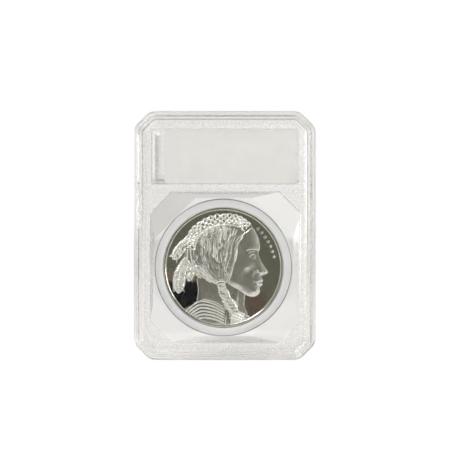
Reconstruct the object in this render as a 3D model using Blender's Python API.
"""Slab-style coin capsule: two clear shells around a label card and a round capsule with its coin.

Metres, +Z up. The slab stands on its bottom edge with the label at the top, and its front
faces -Y. The origin is the centre of the bottom edge.

The pieces are modelled in the slab's own frame, as it lies on its back: X across it, Y up
towards the label, Z from the back face to the front. An empty stands them up.
"""

import math

import bmesh
import bpy

MM = 0.001

# Slab: outline, depth and the level where its two shells meet
SLAB_WIDTH = 60.3 * MM
SLAB_HEIGHT = 82.6 * MM
SLAB_DEPTH = 9.5 * MM
CORNER_LEG = 5.4 * MM
CORNER_ROUND = 4.5 * MM
PARTING_LEVEL = 5.6 * MM
PARTING_GAP = 0.1 * MM
PANE = 1.3 * MM

# Stepped rim, the same on both faces: shoulder, raised rim, then a sunk field
EDGE_BREAK = 0.2 * MM
SHOULDER_WIDTH = 1.0 * MM
SHOULDER_DROP = 0.6 * MM
RIM_BEVEL = 0.4 * MM
RIM_WIDTH = 1.2 * MM
FIELD_BEVEL = 0.6 * MM
FIELD_DROP = 0.5 * MM

# Tongue and groove that press the shells together all round
TONGUE_INSET = 1.9 * MM
TONGUE_WIDTH = 1.0 * MM
TONGUE_HEIGHT = 1.2 * MM
TONGUE_TAPER = 0.08 * MM
TONGUE_GAP = 0.12 * MM

# Coin window: an octagon whose facets slope in to the round seat, which lies slightly to its left
WINDOW_CENTRE_X = 0.25 * MM
WINDOW_CENTRE_Y = -10.6 * MM
WINDOW_HALF = 25.2 * MM
WINDOW_LEG = 7.3 * MM
SEAT_CENTRE_X = -0.25 * MM
SEAT_RADIUS = 23.1 * MM
SEAT_DEPTH = 1.6 * MM
SIDE_STEPS = 14
CORNER_STEPS = 5

# Label window, in line with the coin window, with the raised shelf that carries the card, hollow behind
LABEL_CENTRE_Y = 26.25 * MM
LABEL_HALF_WIDTH = 24.6 * MM
LABEL_HALF_HEIGHT = 9.25 * MM
LABEL_ROUND = 0.8 * MM
SHELF_GAP = 0.2 * MM
SHELF_WALL = 1.0 * MM
CARD_HALF_WIDTH = 22.1 * MM
CARD_HALF_HEIGHT = 9.05 * MM
CARD_ROUND = 1.0 * MM
CARD_THICKNESS = 0.4 * MM
CARD_SHIFT = 2.1 * MM

# Round capsule, lying against the left of its seat: a base with an inner wall, and a cover with a skirt
CAPSULE_SHIFT = -0.2 * MM
CAPSULE_RADIUS = 22.85 * MM
CAPSULE_DEPTH = 5.6 * MM
CAPSULE_PANE = 1.25 * MM
CAPSULE_EDGE = 0.3 * MM
WALL_OUTER = 21.4 * MM
WALL_INNER = 20.15 * MM
WALL_GAP = 0.1 * MM
CAPSULE_STEPS = 96

# Coin
COIN_RADIUS = 20.0 * MM
COIN_THICKNESS = 2.9 * MM
COIN_EDGE = 0.15 * MM
COIN_RIM_WIDTH = 0.75 * MM
COIN_RIM_SLOPE = 0.25 * MM
COIN_FIELD_DEPTH = 0.6 * MM

# Play kept between pieces that rest on each other, and the overshoot of a cutter
REST_GAP = 0.1 * MM
OVERSHOOT = 1.0 * MM

# Levels that follow from the sizes above
REAR_FLOOR = FIELD_DROP + PANE
FRONT_CEILING = SLAB_DEPTH - FIELD_DROP - PANE
FUNNEL_FOOT = REAR_FLOOR + SEAT_DEPTH
CAPSULE_BASE = (REAR_FLOOR + FRONT_CEILING - CAPSULE_DEPTH) / 2
CAPSULE_TOP = CAPSULE_BASE + CAPSULE_DEPTH
CAPSULE_CENTRE_X = SEAT_CENTRE_X + CAPSULE_SHIFT
COIN_BASE = CAPSULE_BASE + CAPSULE_PANE + REST_GAP
CARD_TOP = FRONT_CEILING - REST_GAP
SHELF_TOP = CARD_TOP - CARD_THICKNESS - REST_GAP


def clear_scene():
    """Remove every object, so that the scene holds only this model."""
    for leftover in list(bpy.data.objects):
        bpy.data.objects.remove(leftover)


def make_material(name, colour, roughness, metallic=0.0, transmission=0.0):
    """Return a Principled material."""
    material = bpy.data.materials.new(name)
    material.use_nodes = True
    shader = material.node_tree.nodes["Principled BSDF"]
    shader.inputs["Base Color"].default_value = (*colour, 1.0)
    shader.inputs["Roughness"].default_value = roughness
    shader.inputs["Metallic"].default_value = metallic
    shader.inputs["Transmission Weight"].default_value = transmission
    return material


def rounded_polygon(corners, radius, steps):
    """Replace each corner of a convex, anticlockwise polygon by an arc of the given radius."""
    points = []
    for index, (x, y) in enumerate(corners):
        before = corners[index - 1]
        after = corners[(index + 1) % len(corners)]
        angle_in = math.atan2(y - before[1], x - before[0])
        angle_out = math.atan2(after[1] - y, after[0] - x)
        turn = (angle_out - angle_in) % math.tau
        tangent = radius * math.tan(turn / 2)
        start_x = x - tangent * math.cos(angle_in)
        start_y = y - tangent * math.sin(angle_in)
        centre_x = start_x - radius * math.sin(angle_in)
        centre_y = start_y + radius * math.cos(angle_in)
        for step in range(steps + 1):
            angle = angle_in + turn * step / steps - math.pi / 2
            points.append((centre_x + radius * math.cos(angle), centre_y + radius * math.sin(angle)))
    return points


def octagon_corners(half_width, half_height, leg):
    """Corners of a rectangle with its corners cut off, anticlockwise from the right side."""
    w, h = half_width, half_height
    return [
        (w, leg - h),
        (w, h - leg),
        (w - leg, h),
        (leg - w, h),
        (-w, h - leg),
        (-w, leg - h),
        (leg - w, -h),
        (w - leg, -h),
    ]


def slab_outline(inset):
    """Slab outline moved inwards by an inset, with the same number of points at any inset."""
    leg = CORNER_LEG - inset * (2 - math.sqrt(2))
    corners = octagon_corners(SLAB_WIDTH / 2 - inset, SLAB_HEIGHT / 2 - inset, leg)
    radius = CORNER_ROUND - inset
    return rounded_polygon(corners, radius, steps=4)


def rounded_rectangle(half_width, half_height, radius, centre_x=0.0, centre_y=0.0):
    """Rectangle with round corners about a centre."""
    corners = [
        (half_width, -half_height),
        (half_width, half_height),
        (-half_width, half_height),
        (-half_width, -half_height),
    ]
    outline = rounded_polygon(corners, radius, steps=4)
    return [(x + centre_x, y + centre_y) for x, y in outline]


def window_sectors():
    """Pairs of neighbouring window corners, each with the number of steps between them."""
    corners = octagon_corners(WINDOW_HALF, WINDOW_HALF, WINDOW_LEG)
    for index, corner in enumerate(corners):
        steps = SIDE_STEPS if index % 2 == 0 else CORNER_STEPS
        yield corner, corners[(index + 1) % len(corners)], steps


def window_octagon():
    """The coin window's straight edges, split into the steps that the seat's circle uses."""
    points = []
    for start, end, steps in window_sectors():
        for step in range(steps):
            share = step / steps
            x = start[0] + (end[0] - start[0]) * share
            y = start[1] + (end[1] - start[1]) * share
            points.append((x + WINDOW_CENTRE_X, y + WINDOW_CENTRE_Y))
    return points


def seat_circle():
    """The round seat, with a point in line with every point of the window's octagon."""
    points = []
    for start, end, steps in window_sectors():
        angle_start = math.atan2(start[1], start[0])
        turn = (math.atan2(end[1], end[0]) - angle_start) % math.tau
        for step in range(steps):
            angle = angle_start + turn * step / steps
            x = SEAT_RADIUS * math.cos(angle)
            y = SEAT_RADIUS * math.sin(angle)
            points.append((x + SEAT_CENTRE_X, y + WINDOW_CENTRE_Y))
    return points


def circle(radius, steps=CAPSULE_STEPS):
    """Circle about the origin."""
    angles = [math.tau * step / steps for step in range(steps)]
    return [(radius * math.cos(angle), radius * math.sin(angle)) for angle in angles]


def make_stand():
    """Empty that stands the slab up: its parent frame turns the lying slab's Z to -Y."""
    stand = bpy.data.objects.new("slab_stand", None)
    stand.location = (0.0, SLAB_DEPTH / 2, SLAB_HEIGHT / 2)
    stand.rotation_euler = (math.radians(90), 0.0, 0.0)
    bpy.context.collection.objects.link(stand)
    return stand


def loft(name, rings, material=None, location=(0.0, 0.0, 0.0)):
    """Closed solid through rings of equal point count, each given as its points and level.

    The first and last rings are capped. Rings that go up outside and down inside,
    as in a cup, make a solid just as rings that only go up do.
    """
    bm = bmesh.new()
    rows = [[bm.verts.new((x, y, level)) for x, y in points] for points, level in rings]
    for lower, upper in zip(rows, rows[1:]):
        for index, vert in enumerate(lower):
            following = (index + 1) % len(lower)
            bm.faces.new((vert, lower[following], upper[following], upper[index]))
    bm.faces.new(reversed(rows[0]))
    bm.faces.new(rows[-1])
    bmesh.ops.recalc_face_normals(bm, faces=bm.faces)
    mesh = bpy.data.meshes.new(name)
    bm.to_mesh(mesh)
    bm.free()
    mesh.shade_smooth()
    mesh.set_sharp_from_angle(angle=math.radians(30))
    solid = bpy.data.objects.new(name, mesh)
    solid.location = location
    solid.parent = bpy.data.objects["slab_stand"]
    bpy.context.collection.objects.link(solid)
    if material:
        mesh.materials.append(material)
    return solid


def prism(name, outline, bottom, top):
    """Straight extrusion of an outline, used as a cutter or as an added block."""
    return loft(name, [(outline, bottom), (outline, top)])


def apply_shape(target, tool, operation):
    """Add a Boolean to the target and hide the tool that it uses."""
    modifier = target.modifiers.new(tool.name, "BOOLEAN")
    modifier.operation = operation
    modifier.object = tool
    modifier.solver = "EXACT"
    tool.hide_render = True
    tool.display_type = "WIRE"


def rim_profile():
    """Insets from the slab's outline and depths below its rim, from the side wall to the field."""
    rim_start = SHOULDER_WIDTH + RIM_BEVEL
    rim_end = rim_start + RIM_WIDTH
    return [
        (0.0, SHOULDER_DROP + EDGE_BREAK),
        (EDGE_BREAK, SHOULDER_DROP),
        (SHOULDER_WIDTH, SHOULDER_DROP),
        (rim_start, 0.0),
        (rim_end, 0.0),
        (rim_end + FIELD_BEVEL, FIELD_DROP),
    ]


def make_rear_shell(material):
    """Rear shell: stepped rim, tongue, coin seat with its sloping facets, and label shelf."""
    tongue_end = TONGUE_INSET + TONGUE_WIDTH
    tongue_top = PARTING_LEVEL + TONGUE_HEIGHT
    profile = [(inset, depth) for inset, depth in reversed(rim_profile())]
    profile += [
        (0.0, PARTING_LEVEL),
        (TONGUE_INSET, PARTING_LEVEL),
        (TONGUE_INSET + TONGUE_TAPER, tongue_top),
        (tongue_end - TONGUE_TAPER, tongue_top),
        (tongue_end, PARTING_LEVEL),
    ]
    shell = loft("rear_shell", [(slab_outline(inset), level) for inset, level in profile], material)

    half_width = LABEL_HALF_WIDTH - SHELF_GAP
    half_height = LABEL_HALF_HEIGHT - SHELF_GAP
    shelf_outline = rounded_rectangle(
        half_width, half_height, LABEL_ROUND, WINDOW_CENTRE_X, LABEL_CENTRE_Y
    )
    shelf = prism("label_shelf_block", shelf_outline, PARTING_LEVEL - OVERSHOOT, SHELF_TOP)
    apply_shape(shell, shelf, "UNION")

    hollow_outline = rounded_rectangle(
        half_width - SHELF_WALL,
        half_height - SHELF_WALL,
        LABEL_ROUND,
        WINDOW_CENTRE_X,
        LABEL_CENTRE_Y,
    )
    hollow = prism("label_hollow_cutter", hollow_outline, -OVERSHOOT, SHELF_TOP - SHELF_WALL)
    apply_shape(shell, hollow, "DIFFERENCE")

    seat_rings = [
        (seat_circle(), REAR_FLOOR),
        (seat_circle(), FUNNEL_FOOT),
        (window_octagon(), PARTING_LEVEL),
        (window_octagon(), PARTING_LEVEL + OVERSHOOT),
    ]
    seat = loft("coin_seat_cutter", seat_rings)
    apply_shape(shell, seat, "DIFFERENCE")
    return shell


def make_front_shell(material):
    """Front shell: groove for the tongue, stepped rim, and the pockets behind its two windows."""
    base = PARTING_LEVEL + PARTING_GAP
    groove_top = PARTING_LEVEL + TONGUE_HEIGHT + PARTING_GAP
    groove_outer = TONGUE_INSET - TONGUE_GAP
    groove_inner = TONGUE_INSET + TONGUE_WIDTH + TONGUE_GAP
    profile = [
        (groove_inner, base),
        (groove_inner - TONGUE_TAPER, groove_top),
        (groove_outer + TONGUE_TAPER, groove_top),
        (groove_outer, base),
        (0.0, base),
    ]
    profile += [(inset, SLAB_DEPTH - depth) for inset, depth in rim_profile()]
    shell = loft("front_shell", [(slab_outline(inset), level) for inset, level in profile], material)

    label_outline = rounded_rectangle(
        LABEL_HALF_WIDTH, LABEL_HALF_HEIGHT, LABEL_ROUND, WINDOW_CENTRE_X, LABEL_CENTRE_Y
    )
    pocket_base = base - OVERSHOOT
    label_pocket = prism("label_pocket_cutter", label_outline, pocket_base, FRONT_CEILING)
    apply_shape(shell, label_pocket, "DIFFERENCE")
    coin_pocket = prism("coin_pocket_cutter", window_octagon(), pocket_base, FRONT_CEILING)
    apply_shape(shell, coin_pocket, "DIFFERENCE")
    return shell


def make_label_card(material):
    """Blank card on the shelf, free to slide sideways in the label pocket."""
    outline = rounded_rectangle(CARD_HALF_WIDTH, CARD_HALF_HEIGHT, CARD_ROUND)
    rings = [(outline, 0.0), (outline, CARD_THICKNESS)]
    location = (CARD_SHIFT, LABEL_CENTRE_Y, CARD_TOP - CARD_THICKNESS)
    return loft("label_card", rings, material, location)


def make_capsule_base(material):
    """Capsule base: rear pane, flange and the upright wall round the coin."""
    flange_top = CAPSULE_PANE
    wall_top = CAPSULE_DEPTH - CAPSULE_PANE - 2 * WALL_GAP
    profile = [
        (CAPSULE_RADIUS - CAPSULE_EDGE, 0.0),
        (CAPSULE_RADIUS, CAPSULE_EDGE),
        (CAPSULE_RADIUS, flange_top),
        (WALL_OUTER, flange_top),
        (WALL_OUTER, wall_top),
        (WALL_INNER, wall_top),
        (WALL_INNER, CAPSULE_PANE),
    ]
    rings = [(circle(radius), level) for radius, level in profile]
    return loft("capsule_base", rings, material, (CAPSULE_CENTRE_X, WINDOW_CENTRE_Y, CAPSULE_BASE))


def make_capsule_cover(material):
    """Capsule cover: front pane and the skirt that presses over the base's wall."""
    skirt_inner = WALL_OUTER + WALL_GAP
    skirt_foot = CAPSULE_PANE + WALL_GAP - CAPSULE_DEPTH
    profile = [
        (skirt_inner, -CAPSULE_PANE),
        (skirt_inner, skirt_foot),
        (CAPSULE_RADIUS, skirt_foot),
        (CAPSULE_RADIUS, -CAPSULE_EDGE),
        (CAPSULE_RADIUS - CAPSULE_EDGE, 0.0),
    ]
    rings = [(circle(radius), level) for radius, level in profile]
    return loft("capsule_cover", rings, material, (CAPSULE_CENTRE_X, WINDOW_CENTRE_Y, CAPSULE_TOP))


def make_coin(material):
    """Coin: sunk field inside a raised rim on both faces."""
    half_profile = [
        (COIN_RADIUS - COIN_RIM_WIDTH - COIN_RIM_SLOPE, COIN_FIELD_DEPTH),
        (COIN_RADIUS - COIN_RIM_WIDTH, 0.0),
        (COIN_RADIUS - COIN_EDGE, 0.0),
        (COIN_RADIUS, COIN_EDGE),
    ]
    profile = half_profile + [(r, COIN_THICKNESS - depth) for r, depth in reversed(half_profile)]
    rings = [(circle(radius), level) for radius, level in profile]
    return loft("coin", rings, material, (CAPSULE_CENTRE_X, WINDOW_CENTRE_Y, COIN_BASE))


def build():
    """Model the whole slab."""
    clear_scene()
    make_stand()
    clear_plastic = make_material("slab_clear_plastic", (0.93, 0.94, 0.95), 0.08, transmission=0.9)
    capsule_plastic = make_material("capsule_plastic", (0.90, 0.92, 0.94), 0.05, transmission=0.9)
    card_stock = make_material("label_card_stock", (0.86, 0.86, 0.84), 0.7)
    coin_silver = make_material("coin_silver", (0.78, 0.77, 0.72), 0.18, metallic=1.0)
    make_rear_shell(clear_plastic)
    make_label_card(card_stock)
    make_capsule_base(capsule_plastic)
    make_coin(coin_silver)
    make_capsule_cover(capsule_plastic)
    make_front_shell(clear_plastic)


build()
